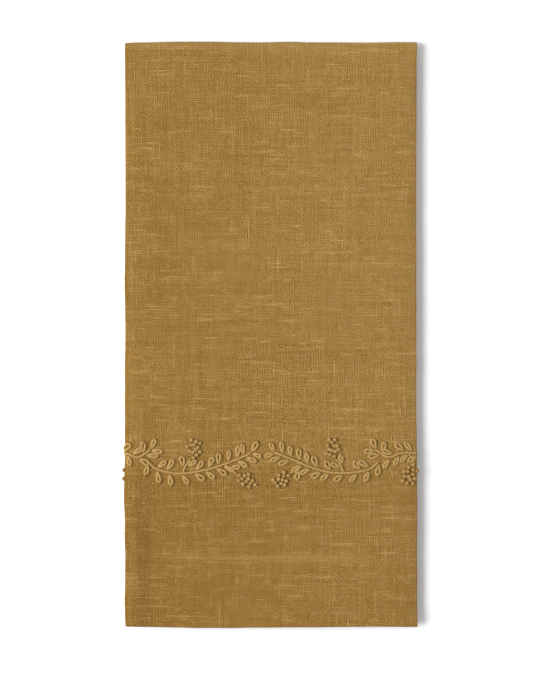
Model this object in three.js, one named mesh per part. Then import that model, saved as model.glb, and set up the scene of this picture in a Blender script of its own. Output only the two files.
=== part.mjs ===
import * as THREE from 'three';

// Hand towel of plain-weave linen, a single hemmed cloth of 500 x 700 mm.
// It is folded in thirds along its length, with both side flaps behind the face, and then in half across
// its length with the flaps inside, so that six layers lie on one another.
// Millimetres. +X runs to the right across the face, +Y toward the crosswise fold, +Z out of the face.
// The origin is under the middle of the folded towel, on the surface that it lies on.

// ---- driving sizes ------------------------------------------------------------------------------
const FACE_W = 174;      // width of the folded face, side fold to side fold
const FACE_L = 350;      // length of the folded face, hem to crosswise fold
const CLOTH = 1.0;       // thickness of one layer, with its slubs and nap
const GAP = 0.4;         // air between neighbouring layers of one half
const CORE = 0.3;        // half of the air between the front and the back half
const FLAP_2_END = -74.6; // free long edge of the flap that turns in at the right side fold
const FLAP_3_END = 77.0;  // free long edge of the flap that turns in at the left side fold
const BACK_SHORT = 2.6;  // the back half's hem stops this far short of the front one
const FLAP_SHORT = 1.2;  // the innermost layer's hem stops this far short of the face's
const FOLD_FACETS = 8;   // facets round each side fold (an arc is cut twice as fine as asked)
const TOP_FACETS = 12;   // facets round the crosswise fold

// ---- heights in the strip of three layers, measured out from its inner side ---------------------------
const PITCH = CLOTH + GAP;
const STRIP_H = 3 * CLOTH + 2 * GAP;
const TOP_R = CORE + STRIP_H;             // outside radius of the crosswise fold
const MID_Z = TOP_R;                      // height of the plane between the two halves
const FOLD_Y = FACE_L - TOP_R;            // where the crosswise fold starts to turn
const RIGHT_R = (2 * CLOTH + GAP) / 2;    // outside radius of the right side fold, round two layers
const LEFT_R = STRIP_H / 2;               // outside radius of the left side fold, round three layers
const RIGHT_X = FACE_W / 2 - RIGHT_R;
const LEFT_X = LEFT_R - FACE_W / 2;

// Where the lines of the section are divided, so that the relief below can bend them.
const DIVIDE_X = [-84, -82, -79, -76, -73, -69.5, -50, -25, 0, 25, 50, 70, 80, 83];

// Rows along the front half, from the hem up.
const FRONT_Y = [0, 12, 30, 50, 73, 92, 112, 137, 172, 205, 240, 272, 300, 326, FOLD_Y];
// Rows along the back half, which lies flat.
const BACK_Y = [BACK_SHORT, 120, 240, FOLD_Y];

// Unevenness of the side folds of the front half: how far each is out of true at a height y.
const SIDES = [
  { y: 0, left: 0.2, right: 0.4 },
  { y: 19, left: -0.1, right: 0.25 },
  { y: 40, left: 0.25, right: 0.25 },
  { y: 73, left: -0.5, right: 0.5 },
  { y: 112, left: 0.0, right: 0.1 },
  { y: 137, left: -0.25, right: -0.4 },
  { y: 172, left: 0.25, right: 0.0 },
  { y: 205, left: -0.25, right: -0.25 },
  { y: 256, left: 0.5, right: -0.35 },
  { y: 291, left: 0.85, right: -0.35 },
  { y: 326, left: 0.2, right: -0.3 },
  { y: 350, left: -0.2, right: 0.2 },
];

// Unevenness of the hem and of the crosswise fold along x: how far each lies above its mean line.
const ENDS = [
  { x: -87, hem: 0.5, fold: -0.4 },
  { x: -70, hem: 0.3, fold: 0.0 },
  { x: -44, hem: -0.4, fold: 0.5 },
  { x: -13, hem: -0.2, fold: -0.2 },
  { x: 7, hem: 0.0, fold: 0.2 },
  { x: 34, hem: 0.1, fold: -0.2 },
  { x: 60, hem: 0.4, fold: -0.2 },
  { x: 87, hem: 0.3, fold: 0.1 },
];

// Relief of the front half: low down a soft roll stands up along the left side fold, higher up the face
// rounds off toward that fold (shoulder), and the right side fold, with two layers under it, droops.
const RELIEF = [
  { y: 0, roll: 2.0, shoulder: 0.0, droop: 0.4 },
  { y: 60, roll: 1.9, shoulder: 0.0, droop: 0.4 },
  { y: 90, roll: 1.1, shoulder: 0.3, droop: 0.4 },
  { y: 112, roll: 0.35, shoulder: 0.75, droop: 0.4 },
  { y: 140, roll: 0.0, shoulder: 0.9, droop: 0.4 },
  { y: 300, roll: 0.0, shoulder: 0.85, droop: 0.4 },
  { y: 350, roll: 0.0, shoulder: 0.3, droop: 0.2 },
];
const ROLL = { foot: -69.5, crest: -82, beyond: 0.3 };   // beyond: share that it loses past its crest
const SHOULDER_FROM = -81;   // the shoulder begins here
const DROOP_FROM = 80;       // the droop begins here

// ---- helpers ------------------------------------------------------------------------------------
// Value of one column of a table at a key, in straight steps between its rows.
function column(rows, key, at, name) {
  if (at <= rows[0][key]) return rows[0][name];
  for (let i = 1; i < rows.length; i++) {
    if (at <= rows[i][key]) {
      const a = rows[i - 1], b = rows[i];
      const t = (at - a[key]) / (b[key] - a[key]);
      return a[name] + (b[name] - a[name]) * t;
    }
  }
  return rows[rows.length - 1][name];
}

const smooth = (t) => THREE.MathUtils.smoothstep(t, 0, 1);

// A level line of the section from x0 to x1, with a point at each division on the way. The flaps are
// divided near the side folds only.
function levelLine(shape, x0, x1, h) {
  const from = h < 2 * PITCH - 0.01 ? 60 : 0;
  const on = DIVIDE_X.filter((x) => x > Math.min(x0, x1) + 0.8 && x < Math.max(x0, x1) - 0.8 && Math.abs(x) >= from);
  if (x1 < x0) on.reverse();
  for (const x of on) shape.lineTo(x, h);
  shape.lineTo(x1, h);
}

// The closed section across the strip: the face outermost, one flap under it from the right side fold,
// and the other flap under that, from the left side fold.
function section() {
  const face = 2 * PITCH;       // inner side of the face
  const s = new THREE.Shape();
  s.moveTo(LEFT_X, face + CLOTH);
  levelLine(s, LEFT_X, RIGHT_X, face + CLOTH);
  s.absarc(RIGHT_X, PITCH + RIGHT_R, RIGHT_R, Math.PI / 2, -Math.PI / 2, true);
  levelLine(s, RIGHT_X, FLAP_2_END, PITCH);
  s.lineTo(FLAP_2_END, PITCH + CLOTH);
  levelLine(s, FLAP_2_END, RIGHT_X, PITCH + CLOTH);
  s.absarc(RIGHT_X, PITCH + RIGHT_R, GAP / 2, -Math.PI / 2, Math.PI / 2, false);
  levelLine(s, RIGHT_X, LEFT_X, face);
  s.absarc(LEFT_X, LEFT_R, LEFT_R - CLOTH, Math.PI / 2, 3 * Math.PI / 2, false);
  levelLine(s, LEFT_X, FLAP_3_END, CLOTH);
  s.lineTo(FLAP_3_END, 0);
  levelLine(s, FLAP_3_END, LEFT_X, 0);
  s.absarc(LEFT_X, LEFT_R, LEFT_R, 3 * Math.PI / 2, Math.PI / 2, true);
  return s;
}

// The rows that the strip passes through, from the back half's hem, round the fold, to the front hem.
function rows() {
  const list = BACK_Y.map((y) => ({ half: 'back', y }));
  for (let i = 1; i < TOP_FACETS; i++) list.push({ half: 'turn', angle: Math.PI * i / TOP_FACETS });
  for (const y of [...FRONT_Y].reverse()) list.push({ half: 'front', y });
  return list;
}

// How far the front half is out of true at a point of its section.
function lift(x, h, y) {
  let dz = 0;
  if (h > PITCH * 2 - 0.01 || x < LEFT_X) {
    const roll = x > ROLL.crest
      ? smooth((ROLL.foot - x) / (ROLL.foot - ROLL.crest))
      : 1 - ROLL.beyond * smooth((ROLL.crest - x) / (ROLL.crest + FACE_W / 2));
    const shoulder = smooth((SHOULDER_FROM - x) / (SHOULDER_FROM + FACE_W / 2));
    dz += column(RELIEF, 'y', y, 'roll') * roll * h / STRIP_H;
    dz -= column(RELIEF, 'y', y, 'shoulder') * shoulder * h / STRIP_H;
  }
  if (x > DROOP_FROM && h > PITCH - 0.01) {
    dz -= column(RELIEF, 'y', y, 'droop') * smooth((x - DROOP_FROM) / (FACE_W / 2 - DROOP_FROM));
  }
  return dz;
}

// Sideways shift of a point, full at the side folds and dying away toward the middle.
function shiftX(x, y, share) {
  const t = smooth((Math.abs(x) - 40) / 40);
  return share * t * column(SIDES, 'y', y, x < 0 ? 'left' : 'right');
}

// Where the point (x, h) of the section goes in one row.
function place(x, h, row) {
  const foldDy = column(ENDS, 'x', x, 'fold');
  if (row.half === 'back') {
    const toFold = smooth((row.y - 240) / (FOLD_Y - 240));
    return [x + shiftX(x, FACE_L, toFold), row.y + foldDy * toFold, MID_Z - CORE - h];
  }
  if (row.half === 'turn') {
    const r = CORE + h;
    return [x + shiftX(x, FACE_L, 1), FOLD_Y + foldDy + r * Math.sin(row.angle), MID_Z - r * Math.cos(row.angle)];
  }
  const toFold = smooth((row.y - 240) / (FOLD_Y - 240));
  const toHem = 1 - smooth(row.y / 50);
  const hemDy = column(ENDS, 'x', x, 'hem') + FLAP_SHORT * (1 - h / STRIP_H);
  return [
    x + shiftX(x, row.y, 1),
    row.y + foldDy * toFold + hemDy * toHem,
    MID_Z + CORE + h + lift(x, h, row.y) * (1 - toFold * (row.y > FOLD_Y - 0.01 ? 1 : 0)),
  ];
}

// ---- the cloth ----------------------------------------------------------------------------------
function foldedCloth() {
  const path = rows();
  const steps = path.length - 1;
  const geometry = new THREE.ExtrudeGeometry(section(), {
    depth: steps, steps, bevelEnabled: false, curveSegments: FOLD_FACETS / 2,
  });
  const at = geometry.getAttribute('position');
  for (let i = 0; i < at.count; i++) {
    const row = path[Math.round(at.getZ(i))];
    const [x, y, z] = place(at.getX(i), at.getY(i), row);
    at.setXYZ(i, x, y, z);
  }
  geometry.computeBoundingBox();
  const box = geometry.boundingBox;
  geometry.translate(-(box.min.x + box.max.x) / 2, -(box.min.y + box.max.y) / 2, -box.min.z);
  geometry.computeVertexNormals();
  return geometry;
}

const linen = new THREE.MeshStandardMaterial({ color: 0xa07b42, roughness: 0.92, metalness: 0 });

const towel = new THREE.Mesh(foldedCloth(), linen);
towel.name = 'towel';

const group = new THREE.Group();
group.add(towel);

export default group;
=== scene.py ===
import math

import bpy
import numpy as np
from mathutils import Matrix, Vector

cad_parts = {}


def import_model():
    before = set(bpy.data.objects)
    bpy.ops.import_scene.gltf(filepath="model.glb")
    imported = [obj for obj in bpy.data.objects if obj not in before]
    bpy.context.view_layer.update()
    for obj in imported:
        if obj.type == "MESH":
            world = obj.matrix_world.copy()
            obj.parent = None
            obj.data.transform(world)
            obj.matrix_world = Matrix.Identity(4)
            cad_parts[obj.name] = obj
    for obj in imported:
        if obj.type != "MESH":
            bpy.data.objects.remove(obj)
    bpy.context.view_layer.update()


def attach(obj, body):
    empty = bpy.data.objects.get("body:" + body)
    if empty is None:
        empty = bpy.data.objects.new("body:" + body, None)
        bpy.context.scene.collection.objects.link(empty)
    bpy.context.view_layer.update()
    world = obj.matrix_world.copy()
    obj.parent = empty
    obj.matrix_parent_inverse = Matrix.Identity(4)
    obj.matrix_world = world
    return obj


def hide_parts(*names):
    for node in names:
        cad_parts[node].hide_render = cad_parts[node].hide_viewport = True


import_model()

# A linen hand towel, 500 x 700 mm, folded in thirds along its length and then in half across it.
# Sizes are in millimetres until a mesh is made. x runs across the face from its middle, y up the face
# from its hem, and h is the height in the strip of three layers, out from its inner side.
MM = 0.001
FACE_W, FACE_L = 174.8, 350.6
LAYER, GAP, CORE = 1.0, 0.4, 0.3
PITCH = LAYER + GAP
STRIP_H = 3 * LAYER + 2 * GAP
TOP_R = CORE + STRIP_H
MID_Z = TOP_R
FOLD_Y = FACE_L - TOP_R
RIGHT_R = (2 * LAYER + GAP) / 2
LEFT_R = STRIP_H / 2
RIGHT_X = FACE_W / 2 - RIGHT_R
LEFT_X = LEFT_R - FACE_W / 2
FLAP_2_END, FLAP_3_END = -74.6, 77.0
BACK_SHORT = 2.6
FLAP_SHORT = 1.2
THICK = 0.72          # the linen itself
HEM_DEPTH = 8.0       # how far the hem is turned in
HEM_EXTRA = 0.30      # what the hem adds on the wrong side
HEM_RISE = 0.20       # how much each layer is lifted at the hem by the hems under it
THREAD_X, THREAD_Y = 0.72, 0.60   # pitch of the upright and of the level threads

# How far the side folds of the front half are out of true at a height y.
SIDES = [
    {"y": 0, "left": 0.05, "right": 0.75},
    {"y": 9, "left": -0.10, "right": 0.40},
    {"y": 19, "left": -0.25, "right": 0.25},
    {"y": 40, "left": 0.10, "right": 0.25},
    {"y": 73, "left": -0.65, "right": 0.5},
    {"y": 112, "left": -0.15, "right": 0.1},
    {"y": 137, "left": -0.40, "right": -0.4},
    {"y": 172, "left": 0.10, "right": 0.0},
    {"y": 205, "left": -0.40, "right": -0.25},
    {"y": 256, "left": 0.35, "right": -0.35},
    {"y": 291, "left": 0.70, "right": -0.35},
    {"y": 326, "left": 0.05, "right": -0.3},
    {"y": 350, "left": -0.35, "right": 0.2},
]
# How far the hem and the crosswise fold lie above their mean lines along x.
ENDS = [
    {"x": -87, "hem": 0.5, "fold": -0.4},
    {"x": -70, "hem": 0.3, "fold": 0.0},
    {"x": -44, "hem": -0.4, "fold": 0.5},
    {"x": -13, "hem": -0.2, "fold": -0.2},
    {"x": 7, "hem": 0.0, "fold": 0.2},
    {"x": 34, "hem": 0.1, "fold": -0.2},
    {"x": 60, "hem": 0.4, "fold": -0.2},
    {"x": 87, "hem": 0.3, "fold": 0.1},
]
# Relief of the front half: below the vine a soft roll stands up beside the left side fold, all the way up the
# face rounds off toward that fold (shoulder), and the right side fold, with two layers under it, droops.
RELIEF = [
    {"y": 0, "roll": 2.0, "shoulder": 0.0, "droop": 0.4},
    {"y": 60, "roll": 1.9, "shoulder": 0.0, "droop": 0.4},
    {"y": 90, "roll": 1.1, "shoulder": 0.30, "droop": 0.4},
    {"y": 112, "roll": 0.35, "shoulder": 0.75, "droop": 0.4},
    {"y": 140, "roll": 0.0, "shoulder": 0.90, "droop": 0.4},
    {"y": 300, "roll": 0.0, "shoulder": 0.85, "droop": 0.4},
    {"y": 350, "roll": 0.0, "shoulder": 0.3, "droop": 0.2},
]
ROLL_FOOT, ROLL_CREST = -69.5, -82.0
SHOULDER_FROM = -81.0
DROOP_FROM = 80.0
# The face comes down a little before it turns over the crosswise fold.
BROW = {"from": 330.0, "drop": 0.5}

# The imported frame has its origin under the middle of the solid. The linen is thinner than the solid's layers,
# and lies down on the surface.
SHIFT = Vector((0.0, -175.054, -0.14))


# ---- small tools --------------------------------------------------------------------------------
def smooth(t):
    t = np.clip(t, 0.0, 1.0)
    return t * t * (3 - 2 * t)


def column(rows, key, at, name, blur=6.0):
    """A column of a table at a key, with its corners rounded off."""
    k = np.array([r[key] for r in rows], float)
    v = np.array([r[name] for r in rows], float)
    at = np.asarray(at, float)
    total, weight = 0.0, 0.0
    for o, w in ((-1.6, 0.5), (-0.8, 1.0), (0.0, 1.3), (0.8, 1.0), (1.6, 0.5)):
        total = total + w * np.interp(at + o * blur, k, v)
        weight += w
    return total / weight


def waves(seed, count, shortest, longest, slope):
    """Random smooth undulations with that root-mean-square slope, as a function of x and y."""
    r = np.random.default_rng(seed)
    length = np.exp(r.uniform(math.log(shortest), math.log(longest), count))
    angle = r.uniform(0, math.pi, count)
    kx, ky = 2 * math.pi / length * np.cos(angle), 2 * math.pi / length * np.sin(angle)
    phase = r.uniform(0, 2 * math.pi, count)
    amp = slope * math.sqrt(2.0 / count) / (2 * math.pi / length)

    def at(x, y):
        x, y = np.broadcast_arrays(np.asarray(x, float), np.asarray(y, float))
        out = np.zeros(x.shape)
        for i in range(count):
            out += amp[i] * np.sin(kx[i] * x + ky[i] * y + phase[i])
        return out

    return at


undulation = waves(11, 18, 16.0, 70.0, 0.018)
layer_wave = waves(12, 10, 30.0, 120.0, 0.008)
edge_wave = waves(13, 12, 5.0, 26.0, 0.03)


# ---- the folds ----------------------------------------------------------------------------------
def lift(x, h, y):
    """How far the front half is out of true, up."""
    top = h > 2 * PITCH - 0.45
    fade = 1 - smooth((y - 315.0) / (FOLD_Y - 315.0))
    share = np.clip(h / STRIP_H, 0, 1)
    t = np.where(x > ROLL_CREST, smooth((ROLL_FOOT - x) / (ROLL_FOOT - ROLL_CREST)), 1 - 0.3 * smooth((ROLL_CREST - x) / (ROLL_CREST + FACE_W / 2)))
    dz = column(RELIEF, "y", y, "roll") * t
    t = smooth((SHOULDER_FROM - x) / (SHOULDER_FROM + FACE_W / 2))
    dz = dz - column(RELIEF, "y", y, "shoulder") * t
    dz = np.where(top | (x < LEFT_X), dz * share, 0.0)
    t = smooth((x - DROOP_FROM) / (FACE_W / 2 - DROOP_FROM))
    dz = dz - np.where(h > PITCH - 0.45, column(RELIEF, "y", y, "droop") * t, 0.0)
    dz = dz * fade
    # Soft undulations of the face, and weaker ones of the layers under it.
    calm = fade * smooth((88.0 - np.abs(x)) / 14.0)
    dz = dz + np.where(top, undulation(x, y), layer_wave(x, y)) * calm
    # The stack is thicker at the hems.
    layer = np.clip(np.round((h - 0.5) / PITCH), 0, 2)
    dz = dz + HEM_RISE * (3 + layer) * (1 - smooth(y / 15.0))
    return dz


def brow(h, y):
    """How far the front half comes down before the crosswise fold. The inner layers hardly move."""
    return BROW["drop"] * np.clip(h / STRIP_H, 0, 1) * np.clip((y - BROW["from"]) / (FOLD_Y - BROW["from"]), 0, 1) ** 2


def shift_x(x, y, share):
    t = smooth((np.abs(x) - 40) / 40)
    fine = edge_wave(np.where(x < 0, -300.0, 300.0), y) * smooth((np.abs(x) - 70) / 15)
    return share * (t * np.where(x < 0, column(SIDES, "y", y, "left"), column(SIDES, "y", y, "right")) + fine)


def place(x, h, half, at):
    """Where the point (x, h) of the section goes, at the height at on the back or front half, or at that angle of the turn."""
    x, h, at = np.broadcast_arrays(np.asarray(x, float), np.asarray(h, float), np.asarray(at, float))
    fold = column(ENDS, "x", x, "fold") + 0.5 * edge_wave(x, 900.0)
    if half == "turn":
        # The corners are pressed square.
        corner = smooth((np.abs(x) - (FACE_W / 2 - LEFT_R)) / LEFT_R)
        r = CORE + h + 0.75 * np.clip(STRIP_H - h, 0, None) * corner * np.sin(at) ** 2
        low = brow(h, FOLD_Y) * smooth((at - math.pi / 2) / (math.pi / 2))
        return np.stack([x + shift_x(x, FACE_L, 1), FOLD_Y + fold + r * np.sin(at), MID_Z - r * np.cos(at) - low], -1)
    to_fold = smooth((at - 240) / (FOLD_Y - 240))
    if half == "back":
        layer = np.clip(np.round((h - 0.5) / PITCH), 0, 2)
        to_hem = 1 - smooth((at - BACK_SHORT) / 15.0)
        up = HEM_RISE * (2 - layer) * to_hem
        hem = (0.6 * edge_wave(x, 500.0) + 0.5 * (2 - layer)) * (1 - smooth(at / 50))
        return np.stack([x + shift_x(x, FACE_L, to_fold), at + fold * to_fold + hem, MID_Z - CORE - h + up], -1)
    to_hem = 1 - smooth(at / 50)
    hem = column(ENDS, "x", x, "hem") + 0.6 * edge_wave(x, 100.0) + FLAP_SHORT * (1 - h / STRIP_H)
    return np.stack(
        [x + shift_x(x, at, 1), at + fold * to_fold + hem * to_hem, MID_Z + CORE + h + lift(x, h, at) - brow(h, at)], -1
    )


def section():
    """The middle of the cloth across the strip, from the free edge of the inner flap at the right side fold, over the face, to the other flap's free edge.
    Gives x, h, the direction out of the right side of the cloth, and the length along it, in columns."""
    pts = []

    def level(x0, x1, h, out, steps):
        for x in x0 + (x1 - x0) * np.asarray(steps):
            pts.append((x, h, 0.0, out))

    def turn(cx, ch, r, a0, a1, n):
        for i in range(1, n):
            a = math.radians(a0 + (a1 - a0) * i / n)
            pts.append((cx + r * math.cos(a), ch + r * math.sin(a), math.cos(a), math.sin(a)))

    def graded(length, fine_from_start, fine_to_end, coarse):
        """Shares of a length, fine near the ends and coarse between."""
        a = [d for d in fine_from_start]
        b = [length - d for d in fine_to_end][::-1]
        n = max(1, round((b[0] - a[-1]) / coarse))
        mid = list(np.linspace(a[-1], b[0], n + 1))[1:-1]
        return np.array(a + mid + b) / length

    hem = [0.0, 0.05, 0.16, 0.36, 1.2, 4.0, 7.2, 7.7, 8.3, 9.0, 12.0]
    near = [0.0, 0.6, 1.4, 2.6, 4.2, 6.2, 8.6, 12.0]
    l2 = RIGHT_X - FLAP_2_END
    level(FLAP_2_END, RIGHT_X, 1.5 * LAYER + GAP, -1.0, graded(l2, hem, near, 9.0))
    turn(RIGHT_X, PITCH + RIGHT_R, (LAYER + GAP) / 2, -90, 90, 10)
    l1 = RIGHT_X - LEFT_X
    level(RIGHT_X, LEFT_X, 2.5 * LAYER + 2 * GAP, 1.0, graded(l1, [0.0, 0.7, 1.6, 2.8], [0.0, 0.8, 1.8, 3.0], 1.85))
    turn(LEFT_X, LEFT_R, LEFT_R - LAYER / 2, 90, 270, 12)
    l3 = FLAP_3_END - LEFT_X
    level(LEFT_X, FLAP_3_END, 0.5 * LAYER, -1.0, graded(l3, near, hem, 9.0))
    p = np.array(pts)
    keep = np.r_[True, np.linalg.norm(np.diff(p[:, :2], axis=0), axis=1) > 1e-6]
    p = p[keep]
    u = np.r_[0.0, np.cumsum(np.linalg.norm(np.diff(p[:, :2], axis=0), axis=1))]
    return np.c_[p, u]


def rows():
    """(half, height or angle, length along the cloth) from the back hem, round the crosswise fold, to the front hem."""
    hem = [0.0, 0.05, 0.16, 0.36, 1.2, 4.0, 7.2, 7.7, 8.3, 9.0, 12.0]
    back = [BACK_SHORT + d for d in hem]
    back += list(np.linspace(back[-1], 325.0, 36))[1:]
    back += [330.0, 334.0, 337.5, 340.2, 342.4, 344.2]
    front = [0.0 + d for d in hem]
    front += list(np.linspace(front[-1], 338.0, 176))[1:]
    front += [339.8, 341.5, 343.0, 344.5]
    out = []
    for y in back + [FOLD_Y]:
        out.append(("back", y, y - BACK_SHORT))
    start = FOLD_Y - BACK_SHORT
    arc = (CORE + 2.5 * LAYER + 2 * GAP) * math.pi
    n = 20
    for i in range(1, n):
        out.append(("turn", math.pi * i / n, start + arc * i / n))
    for y in [FOLD_Y] + front[::-1]:
        out.append(("front", y, start + arc + FOLD_Y - y))
    return out


def hem_profile(d, half_thick):
    """Half thickness near a turned edge at a distance d from it, as a share: round at the very edge."""
    return np.sqrt(np.clip(1 - (1 - np.clip(d / half_thick, 0, 1)) ** 2, 0, 1))


def cloth_mesh():
    sec = section()
    x, h, nx, nh, u = sec.T
    path = rows()
    v = np.array([r[2] for r in path])
    end_u = np.minimum(u, u[-1] - u)
    end_v = np.minimum(v, v[-1] - v)
    t_round = THICK / 2
    edge = np.minimum(hem_profile(end_u, t_round)[None, :], hem_profile(end_v, t_round)[:, None])
    in_hem = np.maximum(1 - smooth((end_u - HEM_DEPTH + 0.5) / 0.8)[None, :], 1 - smooth((end_v - HEM_DEPTH + 0.5) / 0.8)[:, None])
    seam = np.maximum(np.exp(-(((end_u - HEM_DEPTH) / 0.55) ** 2))[None, :], np.exp(-(((end_v - HEM_DEPTH) / 0.55) ** 2))[:, None])
    grids = []
    for side in (1, -1):
        out = np.zeros((len(path), len(u), 3))
        for i, (half, at, _) in enumerate(path):
            if side > 0:
                off = (THICK / 2 - 0.05 * seam[i]) * edge[i]
            else:
                off = -(THICK / 2 + HEM_EXTRA * in_hem[i]) * edge[i]
            out[i] = place(x + nx * off, h + nh * off, half, at)
        grids.append(out)
    nv, nu = len(path), len(u)
    front_id = np.arange(nv * nu).reshape(nv, nu)
    back_id = np.full((nv, nu), -1)
    back_id[0], back_id[-1], back_id[:, 0], back_id[:, -1] = front_id[0], front_id[-1], front_id[:, 0], front_id[:, -1]
    inner = back_id < 0
    back_id[inner] = nv * nu + np.arange(inner.sum())
    verts = np.concatenate([grids[0].reshape(-1, 3), grids[1][inner]])
    a, b, c, d = front_id[:-1, :-1], front_id[:-1, 1:], front_id[1:, 1:], front_id[1:, :-1]
    f1 = np.stack([a, b, c, d], -1).reshape(-1, 4)
    a, b, c, d = back_id[:-1, :-1], back_id[:-1, 1:], back_id[1:, 1:], back_id[1:, :-1]
    f2 = np.stack([a, d, c, b], -1).reshape(-1, 4)
    uu, vv = np.meshgrid(u, v)
    uv = np.stack([uu, vv], -1)
    corner = [uv[:-1, :-1], uv[:-1, 1:], uv[1:, 1:], uv[1:, :-1]]
    uv1 = np.stack(corner, -2).reshape(-1, 2)
    uv2 = np.stack([corner[0], corner[3], corner[2], corner[1]], -2).reshape(-1, 2)
    return verts, np.concatenate([f1, f2]), np.concatenate([uv1, uv2])


def world(p):
    return (np.asarray(p, float) + np.array(SHIFT)) * MM


def make_object(name, verts, faces, uvs, material, sharp=False):
    """faces is an array of quads or a list of polygons, and uvs has a row for each of their corners."""
    me = bpy.data.meshes.new(name)
    me.from_pydata([tuple(q) for q in world(verts)], [], [tuple(int(i) for i in f) for f in faces])
    layer = me.uv_layers.new(name="cloth_mm")
    layer.uv.foreach_set("vector", np.asarray(uvs, np.float32).ravel())
    me.polygons.foreach_set("use_smooth", [not sharp] * len(me.polygons))
    me.materials.append(material)
    me.validate()
    me.update()
    ob = bpy.data.objects.new(name, me)
    bpy.context.scene.collection.objects.link(ob)
    return ob


# ---- stitches: threads laid on the face ------------------------------------------------------------
def on_face(xd, y, off):
    """The point off above the right side of the cloth, xd along it from the middle of the face (past the side folds too) and y up it."""
    xd, y, off = np.broadcast_arrays(np.asarray(xd, float), np.asarray(y, float), np.asarray(off, float))
    rm, lm = (LAYER + GAP) / 2, LEFT_R - LAYER / 2
    right = np.clip((xd - RIGHT_X) / rm, 0, math.pi)
    left = np.clip((LEFT_X - xd) / lm, 0, math.pi)
    past_r = np.maximum(0, xd - RIGHT_X - math.pi * rm)
    past_l = np.maximum(0, LEFT_X - xd - math.pi * lm)
    reach = THICK / 2 + off
    face_h = 2.5 * LAYER + 2 * GAP
    x = np.where(xd > RIGHT_X, RIGHT_X + (rm + reach) * np.sin(right) - past_r,
                 np.where(xd < LEFT_X, LEFT_X - (lm + reach) * np.sin(left) + past_l, xd))
    h = np.where(xd > RIGHT_X, face_h - rm + (rm + reach) * np.cos(right),
                 np.where(xd < LEFT_X, LEFT_R + (lm + reach) * np.cos(left), face_h + reach))
    return place(x, h, "front", y)


class Threads:
    """Collects tubes of thread into one mesh."""

    def __init__(self):
        self.v, self.f, self.uv, self.n = [], [], [], 0

    def add(self, xd, y, off, radius, sides=8, flat=1.0, phase=0.0):
        """A thread along the points (xd, y), off above the cloth, with that radius at each point. It is closed at both ends."""
        xd, y, off = (np.asarray(q, float) for q in (xd, y, off))
        p = on_face(xd, y, off)
        out = on_face(xd, y, off + 0.4) - on_face(xd, y, off - 0.4)
        out /= np.linalg.norm(out, axis=1)[:, None]
        t = np.gradient(p, axis=0)
        t /= np.linalg.norm(t, axis=1)[:, None] + 1e-12
        side = np.cross(t, out)
        side /= np.linalg.norm(side, axis=1)[:, None] + 1e-12
        up = np.cross(side, t)
        radius = np.broadcast_to(np.asarray(radius, float), (len(p),))
        a = np.arange(sides) * 2 * math.pi / sides
        ring = p[:, None] + radius[:, None, None] * (np.cos(a)[None, :, None] * side[:, None] + flat * np.sin(a)[None, :, None] * up[:, None])
        n = len(p)
        base = self.n
        self.v.append(ring.reshape(-1, 3))
        tip0 = p[0] - t[0] * radius[0] * 0.5
        tip1 = p[-1] + t[-1] * radius[-1] * 0.5
        self.v.append(np.array([tip0, tip1]))
        along = np.r_[0, np.cumsum(np.linalg.norm(np.diff(p, axis=0), axis=1))] + phase
        i = np.arange(n - 1)[:, None] * sides
        j = np.arange(sides)[None, :]
        k = (j + 1) % sides
        quads = np.stack([i + j, i + k, i + sides + k, i + sides + j], -1).reshape(-1, 4) + base
        self.f.extend(map(tuple, quads))
        s0, s1 = j[0] / sides, (j[0] + 1) / sides
        uv = np.stack([
            np.stack([np.broadcast_to(s0, (n - 1, sides)), np.broadcast_to(along[:-1, None], (n - 1, sides))], -1),
            np.stack([np.broadcast_to(s1, (n - 1, sides)), np.broadcast_to(along[:-1, None], (n - 1, sides))], -1),
            np.stack([np.broadcast_to(s1, (n - 1, sides)), np.broadcast_to(along[1:, None], (n - 1, sides))], -1),
            np.stack([np.broadcast_to(s0, (n - 1, sides)), np.broadcast_to(along[1:, None], (n - 1, sides))], -1),
        ], 2).reshape(-1, 2)
        self.uv.append(uv)
        e0, e1 = base + n * sides, base + n * sides + 1
        for q in range(sides):
            r = (q + 1) % sides
            self.f.append((e0, base + r, base + q))
            self.uv.append(np.array([[(q + .5) / sides, along[0]], [(q + 1) / sides, along[0]], [q / sides, along[0]]]))
        last = base + (n - 1) * sides
        for q in range(sides):
            r = (q + 1) % sides
            self.f.append((e1, last + q, last + r))
            self.uv.append(np.array([[(q + .5) / sides, along[-1]], [q / sides, along[-1]], [(q + 1) / sides, along[-1]]]))
        self.n += n * sides + 2

    def object(self, name, material):
        return make_object(name, np.concatenate(self.v), self.f, np.concatenate(self.uv), material)


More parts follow.
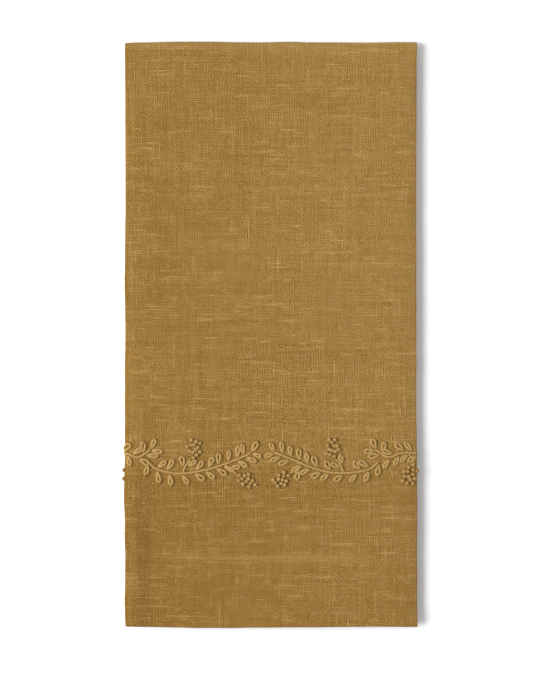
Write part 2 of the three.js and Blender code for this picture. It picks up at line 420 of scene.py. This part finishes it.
# The embroidered vine, charted in millimetres: a is the distance out from the vine's own middle line and
# b the height above the hem. Each stem grows toward the middle, and the whole is mirrored.
VINE_MIDDLE = -4.4
STEMS = [
    {"name": "swag", "course": [(69.0, 99.4), (64.0, 95.4), (57, 93.0), (48.5, 92.1), (39, 93.2), (29, 95.8), (18, 99.8), (7.2, 104.6)],
     "above": (7.0, 13.0, 31.0, 39.0, 45.5, 51.0, 56.5, 61.0), "below": (1.5, 7.5, 15.0, 23.0, 30.5, 37.0, 43.0, 48.0, 56.0, 62.0)},
    {"name": "return", "course": [(97.0, 101.0), (90.0, 104.3), (82.0, 104.2), (74.5, 101.9), (67.5, 106.0)],
     "above": (3.0, 9.0, 14.5, 20.0, 27.5), "below": (5.5, 11.5, 17.5, 23.5, 28.5)},
]
SPRIGS = [
    {"name": "rising", "course": [(48.0, 92.6), (46.5, 96.5), (43.6, 100.6)], "a": 41.2, "b": 107.2, "wide": 4.2, "high": 6.4, "tilt": 8, "berries": 13, "leaves": 2},
    {"name": "hanging", "course": [(22.5, 97.4), (19.4, 94.4), (16.2, 92.4)], "a": 10.4, "b": 88.3, "wide": 6.2, "high": 4.0, "tilt": -32, "berries": 12, "leaves": 1},
    {"name": "fold", "course": [(87.0, 103.8), (89.0, 100.5), (89.6, 98.2)], "a": 87.4, "b": 91.4, "wide": 4.9, "high": 6.6, "tilt": 12, "berries": 14, "leaves": 0},
]
LEAF = {"long": 6.0, "wide": 2.60, "thread": 0.84}
STEM = {"stitch": 4.4, "step": 2.1, "thread": 0.70}
BERRY = {"turn": 0.68, "thread": 0.60}


def curve_through(points, n=240):
    """A smooth curve through the points, evenly spaced, with its direction and length."""
    p = np.array(points, float)
    ends = np.vstack([2 * p[0] - p[1], p, 2 * p[-1] - p[-2]])
    out = []
    for i in range(1, len(ends) - 2):
        t = np.linspace(0, 1, 40, endpoint=False)[:, None]
        a, b, c, d = ends[i - 1], ends[i], ends[i + 1], ends[i + 2]
        out.append(0.5 * (2 * b + (c - a) * t + (2 * a - 5 * b + 4 * c - d) * t**2 + (3 * b - a - 3 * c + d) * t**3))
    out = np.vstack(out + [p[-1:]])
    s = np.r_[0, np.cumsum(np.linalg.norm(np.diff(out, axis=0), axis=1))]
    at = np.linspace(0, s[-1], n)
    q = np.c_[np.interp(at, s, out[:, 0]), np.interp(at, s, out[:, 1])]
    d = np.gradient(q, axis=0)
    d /= np.linalg.norm(d, axis=1)[:, None]
    return q, d, at


def stitch_stem(threads, rng, course, thread, slim=1.0):
    """Stem stitch: slanting stitches that overlap by half and stand on one another like a rope."""
    q, d, s = curve_through(course)
    n = max(2, int(round(s[-1] / STEM["step"])))
    for i in range(n):
        s0 = s[-1] * i / n - 0.4
        s1 = min(s0 + STEM["stitch"] * rng.uniform(0.92, 1.08), s[-1] + 0.5)
        if s1 - s0 < 1.2:
            continue
        t = np.linspace(0, 1, 9)
        at = s0 + (s1 - s0) * t
        x = np.interp(at, s, q[:, 0]) + (at - np.clip(at, 0, s[-1])) * np.interp(at, s, d[:, 0])
        y = np.interp(at, s, q[:, 1]) + (at - np.clip(at, 0, s[-1])) * np.interp(at, s, d[:, 1])
        nx, ny = -np.interp(at, s, d[:, 1]), np.interp(at, s, d[:, 0])
        slant = (t - 0.5) * 2 * 0.30 * slim + rng.normal(0, 0.03)
        arch = np.sin(math.pi * t)
        off = -0.25 + (0.16 + 0.42 * thread / 0.52 + 0.12 * t) * arch**0.6
        r = thread * slim * (0.62 + 0.38 * arch**0.5) * rng.uniform(0.96, 1.04)
        threads.add(x + nx * slant, y + ny * slant, off, r, sides=8, flat=0.9, phase=rng.uniform(0, 9))


def stitch_leaf(threads, rng, base, angle, long=None, wide=None):
    """A detached chain stitch: a loop of thread drawn out to a leaf, and the small stitch that holds its tip."""
    long = (long or LEAF["long"]) * rng.uniform(0.9, 1.1)
    wide = (wide or LEAF["wide"]) * rng.uniform(0.70, 1.04)
    r0 = LEAF["thread"] * rng.uniform(0.94, 1.06)
    angle = angle + rng.normal(0, math.radians(5))
    t = np.linspace(0.012, 0.988, 25)
    along = long * np.sin(math.pi * t) ** 1.15
    across = wide / 2 * np.sin(2 * math.pi * t) * (0.62 + 0.38 * np.sin(math.pi * t) ** 2) * 1.12
    across = across + 0.10 * rng.normal() * np.sin(math.pi * t)
    off = -0.25 + (0.25 + 0.36) * np.minimum(1, np.sin(math.pi * t) * 2.2) ** 0.7
    c, s = math.cos(angle), math.sin(angle)
    x = base[0] + c * along - s * across
    y = base[1] + s * along + c * across
    r = r0 * (0.72 + 0.28 * np.minimum(1, np.sin(math.pi * t) * 2.5))
    threads.add(x, y, off, r, sides=8, flat=0.80, phase=rng.uniform(0, 9))
    # The holding stitch.
    t = np.linspace(0, 1, 7)
    along = long - 0.75 + 1.75 * t
    off = -0.2 + 1.10 * np.sin(math.pi * np.clip(t * 0.92 + 0.08, 0, 1)) ** 0.8
    threads.add(base[0] + c * along, base[1] + s * along, off, r0 * 0.62 * (0.75 + 0.25 * np.sin(math.pi * t)), sides=6, phase=rng.uniform(0, 9))


def stitch_berry(threads, rng, at):
    """A knot of thread: two tight turns, and the end going down through the middle."""
    size = rng.uniform(0.92, 1.08)
    start = rng.uniform(0, 2 * math.pi)
    turns = 2.1
    t = np.linspace(0, 1, 25)
    a = start + turns * 2 * math.pi * t
    r = BERRY["turn"] * size * (1.0 - 0.10 * t)
    off = 0.30 + 0.62 * size * t
    x, y = at[0] + r * np.cos(a), at[1] + r * np.sin(a)
    k = np.linspace(0.25, 1, 4)
    x = np.r_[x, at[0] + (x[-1] - at[0]) * (1 - k)]
    y = np.r_[y, at[1] + (y[-1] - at[1]) * (1 - k)]
    off = np.r_[off, off[-1] + 0.10 - 0.75 * k**2]
    threads.add(x, y, off, BERRY["thread"] * size * np.r_[np.full(25, 1.0), 0.95, 0.85, 0.75, 0.6], sides=7, phase=rng.uniform(0, 9))


def visible(x):
    """Whether a stitch at x along the cloth shows: on the face or on the outer part of a side fold."""
    rm, lm = (LAYER + GAP) / 2, LEFT_R - LAYER / 2
    return LEFT_X - lm * math.radians(128) < x < RIGHT_X + rm * math.radians(128)


def embroider():
    stems, leaves, berries = Threads(), Threads(), Threads()
    rng = np.random.default_rng(5)
    for mirror in (-1, 1):
        def here(p):
            return (VINE_MIDDLE + mirror * p[0], p[1])

        for row in STEMS:
            course = [here((a, b + rng.normal(0, 0.18))) for a, b in row["course"]]
            q, d, s = curve_through(course)
            keep = [i for i in range(len(q)) if visible(q[i, 0])]
            stitch_stem(stems, rng, q[keep][:: max(1, len(keep) // 24)].tolist() + [q[keep][-1].tolist()], STEM["thread"])
            for side in (1, -1):
                # side 1 is above the stem, whichever way it grows
                for at in row["above"] if side > 0 else row["below"]:
                    at = at + rng.normal(0, 0.35)
                    x, y = np.interp(at, s, q[:, 0]), np.interp(at, s, q[:, 1])
                    dx, dy = np.interp(at, s, d[:, 0]), np.interp(at, s, d[:, 1])
                    way = math.atan2(dy, dx)
                    turn = side * (-mirror)
                    lean = math.radians(rng.normal(56 if side > 0 else 50, 6)) * turn
                    gap = 1.15 * turn
                    base = (x - gap * dy, y + gap * dx)
                    if visible(base[0]) and visible(base[0] + LEAF["long"] * math.cos(way + lean) * 0.7):
                        stitch_leaf(leaves, rng, base, way + lean)
            way = math.atan2(d[-1, 1], d[-1, 0])
            for lean in (0.62, -0.72):
                turned = way + lean * (-mirror)
                base = (q[-1, 0] + 1.0 * math.cos(turned), q[-1, 1] + 1.0 * math.sin(turned))
                stitch_leaf(leaves, rng, base, turned, long=5.4)
        for row in SPRIGS:
            course = [here(p) for p in row["course"]]
            if all(visible(p[0]) for p in course):
                stitch_stem(stems, rng, course, STEM["thread"], slim=0.9)
            if row["leaves"]:
                q, d, s = curve_through(course)
                for side in (1, -1)[: row["leaves"]]:
                    at = s[-1] * (0.42 if side > 0 else 0.55)
                    x, y = np.interp(at, s, q[:, 0]), np.interp(at, s, q[:, 1])
                    dx, dy = np.interp(at, s, d[:, 0]), np.interp(at, s, d[:, 1])
                    way = math.atan2(dy, dx)
                    stitch_leaf(leaves, rng, (x - side * 1.1 * dy, y + side * 1.1 * dx), way + side * math.radians(38 if side > 0 else 30), long=5.4)
            n = row["berries"]
            turn = math.radians(row["tilt"]) * (-mirror)
            begin = rng.uniform(0, 2 * math.pi)
            for k in range(n):
                r = math.sqrt((k + 0.5) / n)
                a = begin + k * 2.39996
                ex, ey = row["wide"] * r * math.cos(a), row["high"] * r * math.sin(a)
                cx, cy = here((row["a"], row["b"]))
                x = cx + ex * math.cos(turn) - ey * math.sin(turn) + rng.normal(0, 0.12)
                y = cy + ex * math.sin(turn) + ey * math.cos(turn) + rng.normal(0, 0.12)
                if visible(x):
                    stitch_berry(berries, rng, (x, y))
    return stems, leaves, berries


# ---- materials ----------------------------------------------------------------------------------
def srgb(r, g, b):
    def lin(c):
        c /= 255.0
        return c / 12.92 if c <= 0.04045 else ((c + 0.055) / 1.055) ** 2.4
    return (lin(r), lin(g), lin(b))


class Nodes:
    """Short ways to write shader nodes."""

    def __init__(self, name):
        self.mat = bpy.data.materials.new(name)
        self.mat.use_nodes = True
        self.nt = self.mat.node_tree
        self.nt.nodes.clear()

    def link(self, src, sock):
        if isinstance(src, bpy.types.NodeSocket):
            self.nt.links.new(src, sock)
        else:
            sock.default_value = src

    def math(self, op, a, b=0.0, c=None, clamp=False):
        n = self.nt.nodes.new("ShaderNodeMath")
        n.operation = op
        n.use_clamp = clamp
        self.link(a, n.inputs[0])
        if b is not None:
            self.link(b, n.inputs[1])
        if c is not None:
            self.link(c, n.inputs[2])
        return n.outputs[0]

    def add(self, a, b): return self.math("ADD", a, b)
    def sub(self, a, b): return self.math("SUBTRACT", a, b)
    def mul(self, a, b): return self.math("MULTIPLY", a, b)
    def div(self, a, b): return self.math("DIVIDE", a, b)
    def floor(self, a): return self.math("FLOOR", a)

    def uv(self):
        n = self.nt.nodes.new("ShaderNodeUVMap")
        n.uv_map = "cloth_mm"
        s = self.nt.nodes.new("ShaderNodeSeparateXYZ")
        self.nt.links.new(n.outputs[0], s.inputs[0])
        return s.outputs[0], s.outputs[1]

    def xyz(self, x, y, z=0.0):
        n = self.nt.nodes.new("ShaderNodeCombineXYZ")
        self.link(x, n.inputs[0]); self.link(y, n.inputs[1]); self.link(z, n.inputs[2])
        return n.outputs[0]

    def noise(self, x, y, z=0.0, detail=0.0, rough=0.5):
        """Smooth noise of about 0 to 1."""
        n = self.nt.nodes.new("ShaderNodeTexNoise")
        n.noise_dimensions = "3D"
        self.nt.links.new(self.xyz(x, y, z), n.inputs["Vector"])
        n.inputs["Scale"].default_value = 1.0
        n.inputs["Detail"].default_value = detail
        n.inputs["Roughness"].default_value = rough
        return n.outputs["Fac"]

    def white(self, x, y):
        n = self.nt.nodes.new("ShaderNodeTexWhiteNoise")
        n.noise_dimensions = "2D"
        self.nt.links.new(self.xyz(x, y), n.inputs["Vector"])
        return n.outputs["Value"]

    def thread(self, index, along, step):
        """Smooth noise along a thread, another for each one."""
        return self.noise(self.add(along, self.mul(index, 0.377)), self.mul(index, step), self.mul(index, 0.213))

    def against(self, index, value):
        """value of a thread, less half of that of each of its two neighbours."""
        beside = self.add(value(self.add(index, 1.0)), value(self.sub(index, 1.0)))
        return self.sub(value(index), self.mul(beside, 0.5))

    def cell(self, x, y):
        """A number from -1 to 1 for a crossing, mostly near 0."""
        return self.math("POWER", self.mul(self.sub(self.white(x, y), 0.5), 2.0), 3.0)

    def ramp(self, fac, stops, mode="LINEAR"):
        n = self.nt.nodes.new("ShaderNodeValToRGB")
        n.color_ramp.interpolation = mode
        e = n.color_ramp.elements
        while len(e) > 1:
            e.remove(e[-1])
        e[0].position, e[0].color = stops[0][0], (*stops[0][1], 1)
        for pos, col in stops[1:]:
            k = e.new(pos)
            k.color = (*col, 1)
        self.link(fac, n.inputs[0])
        return n.outputs[0]

    def mix(self, fac, a, b):
        n = self.nt.nodes.new("ShaderNodeMix")
        n.data_type = "RGBA"
        self.link(fac, n.inputs["Factor"])
        for src, name in ((a, "A"), (b, "B")):
            self.link(src, next(q for q in n.inputs if q.name == name and q.type == "RGBA"))
        return next(q for q in n.outputs if q.type == "RGBA")

    def range(self, v, a, b, c, d, mode="SMOOTHSTEP"):
        n = self.nt.nodes.new("ShaderNodeMapRange")
        n.interpolation_type = mode
        self.link(v, n.inputs[0])
        for i, q in enumerate((a, b, c, d)):
            self.link(q, n.inputs[i + 1])
        return n.outputs[0]

    def finish(self, color, height, distance, strength, rough, sheen, sheen_rough=0.4, spec=0.3):
        p = self.nt.nodes.new("ShaderNodeBsdfPrincipled")
        o = self.nt.nodes.new("ShaderNodeOutputMaterial")
        b = self.nt.nodes.new("ShaderNodeBump")
        b.inputs["Strength"].default_value = strength
        b.inputs["Distance"].default_value = distance
        self.link(height, b.inputs["Height"])
        self.link(color, p.inputs["Base Color"])
        self.link(rough, p.inputs["Roughness"])
        p.inputs["Sheen Weight"].default_value = sheen
        p.inputs["Sheen Roughness"].default_value = sheen_rough
        p.inputs["Specular IOR Level"].default_value = spec
        self.nt.links.new(b.outputs[0], p.inputs["Normal"])
        self.nt.links.new(p.outputs[0], o.inputs[0])
        return self.mat


# The light on the face against what shows as white, in red, green and blue, and the cloth's slight shine.
EXPOSE = (1.58, 1.62, 1.83)
SHINE = 0.004


def tone(r, g, b):
    """The albedo of what shows as this colour on the face in the soft light below."""
    return tuple((c - SHINE) / e for c, e in zip(srgb(r, g, b), EXPOSE))


def linen_material():
    """Plain weave: upright threads over and under level ones, uneven in tone and thickness, with slubs."""
    n = Nodes("linen_weave")
    u, v = n.uv()
    # The threads wander a little.
    wob_u = n.add(n.noise(n.mul(u, 0.03), n.mul(v, 0.05), 3.1), n.noise(n.mul(u, 0.12), n.mul(v, 0.10), 5.3))
    wob_v = n.add(n.noise(n.mul(u, 0.05), n.mul(v, 0.03), 8.7), n.noise(n.mul(u, 0.10), n.mul(v, 0.14), 9.9))
    a = n.add(n.div(u, THREAD_X), n.mul(n.sub(wob_u, 1.0), 1.3))
    b = n.add(n.div(v, THREAD_Y), n.mul(n.sub(wob_v, 1.0), 1.3))
    ia, ib = n.floor(a), n.floor(b)
    fa, fb = n.sub(n.sub(a, ia), 0.5), n.sub(n.sub(b, ib), 0.5)
    # Tone of each thread: its own over some length, set off from its neighbours, and changing along it.
    warp_own = n.sub(n.thread(ia, n.mul(v, 0.030), 7.31), 0.5)
    weft_own = n.sub(n.thread(ib, n.mul(u, 0.021), 6.43), 0.5)
    warp_apart = n.against(ia, lambda i: n.thread(i, n.mul(v, 0.035), 3.67))
    weft_apart = n.against(ib, lambda i: n.thread(i, n.mul(u, 0.030), 5.39))
    warp_run = n.sub(n.thread(ia, n.mul(v, 0.11), 5.77), 0.5)
    weft_run = n.sub(n.thread(ib, n.mul(u, 0.09), 9.17), 0.5)
    warp = n.add(n.add(n.mul(warp_own, TONE["warp_own"]), n.mul(warp_run, TONE["warp_run"])), n.mul(warp_apart, TONE["warp_apart"]))
    weft = n.add(n.add(n.mul(weft_own, TONE["weft_own"]), n.mul(weft_run, TONE["weft_run"])), n.mul(weft_apart, TONE["weft_apart"]))
    # Slubs: short thick places, mostly in the level threads.
    slub_f = n.range(n.thread(ib, n.mul(u, 0.08), 3.91), 0.67, 0.80, 0.0, 1.0)
    slub_w = n.range(n.thread(ia, n.mul(v, 0.08), 4.37), 0.69, 0.82, 0.0, 1.0)
    # Over and under.
    par = n.math("FLOORED_MODULO", n.add(ia, ib), 2.0)
    sgn = n.sub(n.mul(par, 2.0), 1.0)
    over_w = n.mul(n.math("COSINE", n.mul(fb, math.pi)), sgn)
    over_f = n.mul(n.math("COSINE", n.mul(fa, math.pi)), n.mul(sgn, -1.0))
    wid_w = n.add(n.add(0.47, n.mul(warp_run, 0.20)), n.mul(slub_w, 0.12))
    wid_f = n.add(n.add(0.47, n.mul(weft_run, 0.22)), n.mul(slub_f, 0.14))
    prof_w = n.math("SQRT", n.math("MAXIMUM", n.sub(1.0, n.math("POWER", n.math("ABSOLUTE", n.div(fa, wid_w)), 2.0)), 0.0), None)
    prof_f = n.math("SQRT", n.math("MAXIMUM", n.sub(1.0, n.math("POWER", n.math("ABSOLUTE", n.div(fb, wid_f)), 2.0)), 0.0), None)
    hw = n.add(n.add(n.mul(over_w, 0.42), n.mul(prof_w, 0.62)), n.mul(slub_w, 0.35))
    hf = n.add(n.add(n.mul(over_f, 0.42), n.mul(prof_f, 0.62)), n.mul(slub_f, 0.45))
    height = n.math("MAXIMUM", hw, hf)
    top_w = n.range(n.sub(hw, hf), -0.06, 0.06, 0.0, 1.0)
    # Tone that shows: of the thread on top, with painted shade darker down between the threads.
    mix = n.add(n.mul(warp, top_w), n.mul(weft, n.sub(1.0, top_w)))
    slub = n.add(n.mul(slub_w, n.mul(top_w, 0.16)), n.mul(slub_f, n.mul(n.sub(1.0, top_w), 0.26)))
    # Neighbouring threads lie in pairs, upright ones here and level ones there, and in places the crossings
    # stand out like a fine check.
    odd_w = n.sub(n.mul(n.math("FLOORED_MODULO", ia, 2.0), 2.0), 1.0)
    odd_f = n.sub(n.mul(n.math("FLOORED_MODULO", ib, 2.0), 2.0), 1.0)
    pair_w = n.mul(odd_w, n.range(n.noise(n.mul(u, 0.12), n.mul(v, 0.05), 41.0), 0.30, 0.70, -1.0, 1.0))
    pair_f = n.mul(odd_f, n.range(n.noise(n.mul(u, 0.09), n.mul(v, 0.22), 47.0), 0.30, 0.70, -1.0, 1.0))
    check = n.mul(sgn, n.range(n.noise(n.mul(u, 0.09), n.mul(v, 0.09), 53.0), 0.30, 0.70, -1.0, 1.0))
    fine = n.add(n.mul(pair_w, TONE["pair_w"]), n.add(n.mul(pair_f, TONE["pair_f"]), n.mul(check, TONE["check"])))
    # Each crossing is lighter or darker than those beside it, and the fibres give it a finer grain.
    cell = n.cell(ia, ib)
    beside = n.add(n.add(n.cell(ia, n.add(ib, 1.0)), n.cell(ia, n.sub(ib, 1.0))), n.add(n.cell(n.add(ia, 1.0), ib), n.cell(n.sub(ia, 1.0), ib)))
    fine = n.add(fine, n.mul(n.sub(cell, n.mul(beside, 0.25)), TONE["cell"]))
    grain = n.math("POWER", n.mul(n.sub(n.white(n.floor(n.mul(a, 2.0)), n.floor(n.mul(b, 2.0))), 0.5), 2.0), 5.0)
    fine = n.add(fine, n.mul(grain, TONE["grain"]))
    # Painted shade: the cloth darker where the weave lies low, down between the threads.
    painted_gap_shade = n.range(height, 0.30, 0.95, -1.0, 0.35)
    t = n.add(mix, n.mul(slub, TONE["slub"]))
    t = n.add(t, n.add(fine, n.mul(painted_gap_shade, TONE["painted_gap_shade"])))
    soft = n.sub(n.noise(n.mul(u, 0.045), n.mul(v, 0.045), 21.0, detail=2.0), 0.5)
    t = n.add(t, n.mul(soft, TONE["cloud"]))
    # Broad differences of tone, some of them painted light, and single marks.
    for row in TONE_BANDS:
        inside = None
        for q, lo, hi, blur in ((u, "u0", "u1", row["blur_u"]), (v, "v0", "v1", row["blur_v"])):
            a0 = n.range(q, row[lo] - blur, row[lo] + blur, 0.0, 1.0)
            a1 = n.range(q, row[hi] - blur, row[hi] + blur, 1.0, 0.0)
            both = n.mul(a0, a1)
            inside = both if inside is None else n.mul(inside, both)
        t = n.add(t, n.mul(inside, row["tone"]))
    t = n.math("ADD", t, 0.5 + TONE["lift"], clamp=True)
    color = n.ramp(t, [
        (0.0, tone(104, 70, 20)),
        (0.25, tone(131, 96, 41)),
        (0.5, tone(159, 123, 66)),
        (0.75, tone(187, 152, 95)),
        (1.0, tone(214, 181, 126)),
    ])
    fuzz = n.noise(n.mul(u, 9.0), n.mul(v, 9.0), 31.0, detail=1.0)
    full = n.add(height, n.add(n.mul(fuzz, 0.10), n.mul(n.add(slub_f, slub_w), 0.25)))
    rough = n.range(t, 0.2, 0.8, 0.92, 0.80, mode="LINEAR")
    return n.finish(color, full, 0.00016, TONE["bump"], rough, sheen=0.0, spec=0.05)


TONE = {
    "warp_own": 0.285, "warp_run": 0.12, "warp_apart": 0.22, "weft_own": 0.395, "weft_run": 0.14, "weft_apart": 0.265, "slub": 1.15,
    "pair_w": 0.07, "pair_f": 0.05, "check": 0.19, "cell": 0.28, "grain": 0.28,
    "painted_gap_shade": 0.08, "cloud": 0.03, "lift": 0.0, "bump": 0.25,
}
# Bands of the cloth that are lighter or darker, between lengths u0 and u1 across the strip and v0 and v1 along it.
# Those marked so are painted light.
TONE_BANDS = [
    {"name": "below the vine", "u0": -50.0, "u1": 600.0, "v0": 607.0, "v1": 760.0, "blur_u": 1.0, "blur_v": 7.0, "tone": -0.06},
    {"name": "above the vine", "u0": -50.0, "u1": 600.0, "v0": 500.0, "v1": 612.0, "blur_u": 1.0, "blur_v": 40.0, "tone": -0.015},
    # Painted light: the face made lighter toward its right side, as though more light fell there.
    {"name": "painted light toward the right", "u0": -150.0, "u1": 235.0, "v0": -50.0, "v1": 760.0, "blur_u": 60.0, "blur_v": 1.0, "tone": 0.068},
    # Painted light: the top fold lighter, for the light it catches from above; the crease band is its lightest edge.
    {"name": "crosswise fold", "u0": -50.0, "u1": 600.0, "v0": 339.0, "v1": 355.5, "blur_u": 1.0, "blur_v": 4.0, "tone": 0.10},
    {"name": "painted light on crosswise crease", "u0": -50.0, "u1": 600.0, "v0": 345.0, "v1": 350.0, "blur_u": 1.0, "blur_v": 2.5, "tone": 0.06},
    # Painted light: the right side fold lighter, where it turns away from the light.
    {"name": "painted light on right fold", "u0": 158.0, "u1": 162.6, "v0": -50.0, "v1": 760.0, "blur_u": 0.6, "blur_v": 1.0, "tone": 0.30},
    {"name": "left crease", "u0": 334.4, "u1": 339.0, "v0": -50.0, "v1": 760.0, "blur_u": 0.8, "blur_v": 1.0, "tone": -0.08},
    {"name": "thick level thread", "u0": 192.0, "u1": 317.0, "v0": 659.4, "v1": 660.3, "blur_u": 12.0, "blur_v": 0.25, "tone": 0.13},
    {"name": "its neighbour", "u0": 186.0, "u1": 262.0, "v0": 661.5, "v1": 662.1, "blur_u": 9.0, "blur_v": 0.2, "tone": 0.10},
    {"name": "about them", "u0": 200.0, "u1": 305.0, "v0": 656.5, "v1": 663.5, "blur_u": 16.0, "blur_v": 1.6, "tone": 0.03},
    {"name": "along the hem", "u0": -50.0, "u1": 600.0, "v0": 682.0, "v1": 760.0, "blur_u": 1.0, "blur_v": 8.0, "tone": -0.016},
    {"name": "lower right corner", "u0": 150.0, "u1": 180.0, "v0": 672.0, "v1": 760.0, "blur_u": 8.0, "blur_v": 10.0, "tone": -0.018},
    {"name": "left side, upper part", "u0": 308.0, "u1": 345.0, "v0": 405.0, "v1": 512.0, "blur_u": 12.0, "blur_v": 16.0, "tone": -0.03},
    {"name": "thin upright threads", "u0": 291.0, "u1": 294.0, "v0": 497.0, "v1": 577.0, "blur_u": 1.0, "blur_v": 14.0, "tone": -0.03},
]


def thread_material():
    """Loosely twisted strands, a little lighter and smoother than the cloth."""
    n = Nodes("embroidery_thread")
    u, v = n.uv()
    twist = n.add(n.mul(u, 3.0), n.div(v, 2.6))
    strand = n.math("COSINE", n.mul(twist, 2 * math.pi))
    hair = n.noise(n.mul(u, 22.0), n.mul(v, 1.2), 4.0, detail=1.0)
    along = n.sub(n.noise(0.5, n.mul(v, 0.45), 9.0, detail=1.0), 0.5)
    t = n.add(n.add(0.5, n.mul(strand, 0.10)), n.add(n.mul(n.sub(hair, 0.5), 0.18), n.mul(along, 0.25)))
    color = n.ramp(t, [
        (0.0, tone(156, 118, 60)),
        (0.5, tone(194, 158, 100)),
        (1.0, tone(224, 190, 134)),
    ])
    # Painted shade: deeper and darker in colour down its sides, where the strands turn under into shade.
    top = n.math("SINE", n.mul(u, 2 * math.pi))
    painted_side_shade = n.range(top, 0.65, -0.05, 0.0, 0.85)
    color = n.mix(painted_side_shade, color, (*tone(162, 115, 26), 1))
    height = n.add(n.mul(strand, 0.5), n.mul(hair, 0.35))
    return n.finish(color, height, 0.00010, 0.5, 0.62, sheen=0.0, spec=0.15)


def floor_material():
    n = Nodes("pale_floor")
    w = n.noise(n.mul(n.uv()[0], 0.2), n.mul(n.uv()[1], 0.2), 0.0)
    color = n.ramp(w, [(0.0, (0.925, 0.94, 0.96)), (1.0, (0.94, 0.955, 0.975))])
    p = n.nt.nodes.new("ShaderNodeBsdfPrincipled")
    o = n.nt.nodes.new("ShaderNodeOutputMaterial")
    n.nt.links.new(color, p.inputs["Base Color"])
    p.inputs["Roughness"].default_value = 0.9
    p.inputs["Specular IOR Level"].default_value = 0.0
    n.nt.links.new(p.outputs[0], o.inputs[0])
    return n.mat


# ---- the camera, straight above the face -----------------------------------------------------------
FRAME_H = 403.7          # millimetres of the face's plane from the top of the frame to its bottom
CAMERA_X, CAMERA_Y = -0.54, 173.5
FAR = 2000.0
cam_data = bpy.data.cameras.new("camera")
cam_data.sensor_width = 36.0
cam_data.lens = 36.0 * FAR / FRAME_H
cam_data.clip_start, cam_data.clip_end = 0.05, 60.0
camera = bpy.data.objects.new("camera", cam_data)
camera.location = [(c + s) * MM for c, s in zip((CAMERA_X, CAMERA_Y, FAR + 8.2), SHIFT)]
bpy.context.scene.collection.objects.link(camera)
bpy.context.scene.camera = camera

# ---- build --------------------------------------------------------------------------------------
linen, thread, pale = linen_material(), thread_material(), floor_material()

verts, faces, uvs = cloth_mesh()
towel = make_object("towel_cloth", verts, faces, uvs, linen)
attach(towel, "root")
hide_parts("towel")

stems, leaves, berries = embroider()
for name, threads in (("vine_stems", stems), ("vine_leaves", leaves), ("vine_berries", berries)):
    ob = threads.object(name, thread)
    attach(ob, "root")

# ---- floor and light ------------------------------------------------------------------------------
size = 9.0
me = bpy.data.meshes.new("floor")
me.from_pydata([(-size, -size, 0), (size, -size, 0), (size, size, 0), (-size, size, 0)], [], [(0, 1, 2, 3)])
me.uv_layers.new(name="cloth_mm").uv.foreach_set("vector", [0, 0, 1, 0, 1, 1, 0, 1])
me.materials.append(pale)
floor = bpy.data.objects.new("floor", me)
floor.location.z = -0.0001
bpy.context.scene.collection.objects.link(floor)

scene = bpy.context.scene
scene.view_settings.view_transform = "Standard"
scene.view_settings.look = "None"
scene.view_settings.exposure = 0.0
scene.view_settings.gamma = 1.0


def area(name, at, size_x, size_y, strength, color=(1, 1, 1)):
    """A soft light at a point in metres, facing the towel, with that radiance."""
    data = bpy.data.lights.new(name, "AREA")
    data.shape = "RECTANGLE"
    data.size, data.size_y = size_x, size_y
    data.energy = strength * math.pi * size_x * size_y
    data.color = color
    ob = bpy.data.objects.new(name, data)
    ob.location = at
    ob.rotation_mode = "QUATERNION"
    ob.rotation_quaternion = (-Vector(at)).to_track_quat("-Z", "Y")
    bpy.context.scene.collection.objects.link(ob)
    return ob


LIGHT = {"key": 10.5, "top": 1.6, "side": 1.8, "room": 0.48}
area("key", (-1.80, -0.08, 1.64), 1.5, 1.90, LIGHT["key"])
area("top", (0.0, 2.3, 0.72), 2.4, 0.9, LIGHT["top"])
area("side", (2.3, 0.0, 0.55), 2.4, 0.7, LIGHT["side"])
room = bpy.data.worlds.new("room")
room.use_nodes = True
room.node_tree.nodes["Background"].inputs[0].default_value = (1, 1, 1, 1)
room.node_tree.nodes["Background"].inputs[1].default_value = LIGHT["room"]
scene.world = room
